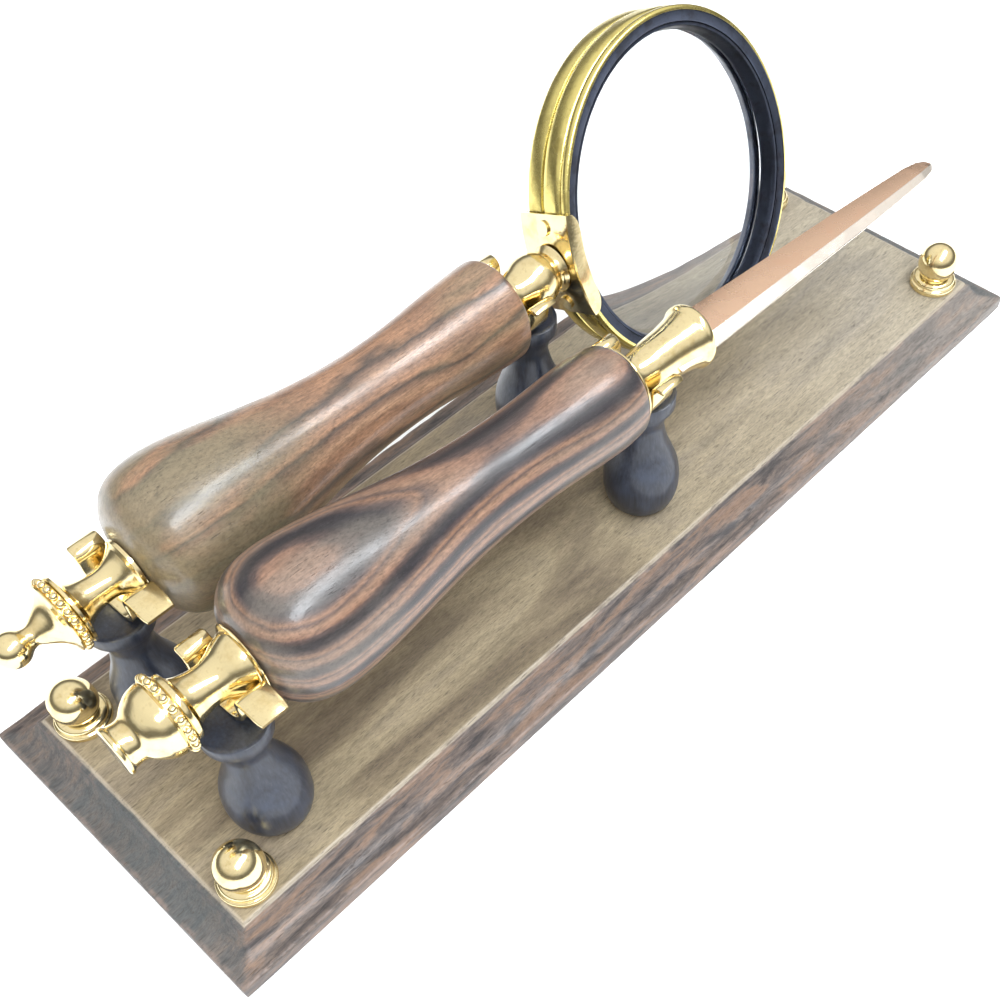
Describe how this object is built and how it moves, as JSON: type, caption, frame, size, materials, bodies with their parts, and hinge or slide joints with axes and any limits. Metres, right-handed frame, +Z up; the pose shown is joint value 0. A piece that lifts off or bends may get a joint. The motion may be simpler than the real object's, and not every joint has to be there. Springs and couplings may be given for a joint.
{
  "type": "magnifying glass and letter opener on a desk stand",
  "caption": "Moulded wooden board with turned posts and brass cradles that carry a wood-handled magnifying glass and a wood-handled letter opener, both of which lift off.",
  "frame": {"origin": "centre of the underside of the board", "axes": "+X along the board from the pommel end to the blade end, +Y from the letter opener towards the magnifying glass, +Z up"},
  "size_m": [0.3, 0.095, 0.0974],
  "materials": {
    "board_wood": "satin grey-brown wood",
    "ebonised_wood": "satin blue-black stain",
    "polished_brass": "polished",
    "steel": "plain",
    "glass_handle_wood": "gloss lacquer",
    "opener_handle_wood": "gloss lacquer",
    "blackened_metal": "satin blue-black",
    "lens_glass": "polished",
    "blade_brass": "polished, warm reddish tone"
  },
  "bodies": {
    "stand": {"board": "board_wood", "post_screws": "steel", "post_1": "ebonised_wood", "post_2": "ebonised_wood", "post_3": "ebonised_wood", "post_4": "ebonised_wood", "cradle_1": "polished_brass", "cradle_2": "polished_brass", "cradle_3": "polished_brass", "cradle_4": "polished_brass", "cradle_screws": "polished_brass", "knob_1": "polished_brass", "knob_2": "polished_brass", "knob_3": "polished_brass", "knob_4": "polished_brass"},
    "magnifying_glass": {"glass_pommel": "polished_brass", "glass_bead_ring": "polished_brass", "glass_handle": "glass_handle_wood", "glass_rod": "steel", "glass_washer": "polished_brass", "glass_collar": "polished_brass", "glass_saddle": "polished_brass", "glass_saddle_rivets": "polished_brass", "glass_ring": "polished_brass", "glass_retainer_front": "blackened_metal", "glass_retainer_rear": "blackened_metal", "glass_lens": "lens_glass"},
    "letter_opener": {"opener_pommel": "polished_brass", "opener_bead_ring": "polished_brass", "opener_handle": "opener_handle_wood", "opener_rod": "steel", "opener_washer": "polished_brass", "opener_collar": "polished_brass", "opener_blade": "blade_brass"}
  },
  "joints": [
    {"name": "glass_lift", "type": "slide", "parent": "stand", "child": "magnifying_glass", "axis": [0, 0, 1], "range_m": [0, 0.09]},
    {"name": "opener_lift", "type": "slide", "parent": "stand", "child": "letter_opener", "axis": [0, 0, 1], "range_m": [0, 0.09]}
  ]
}
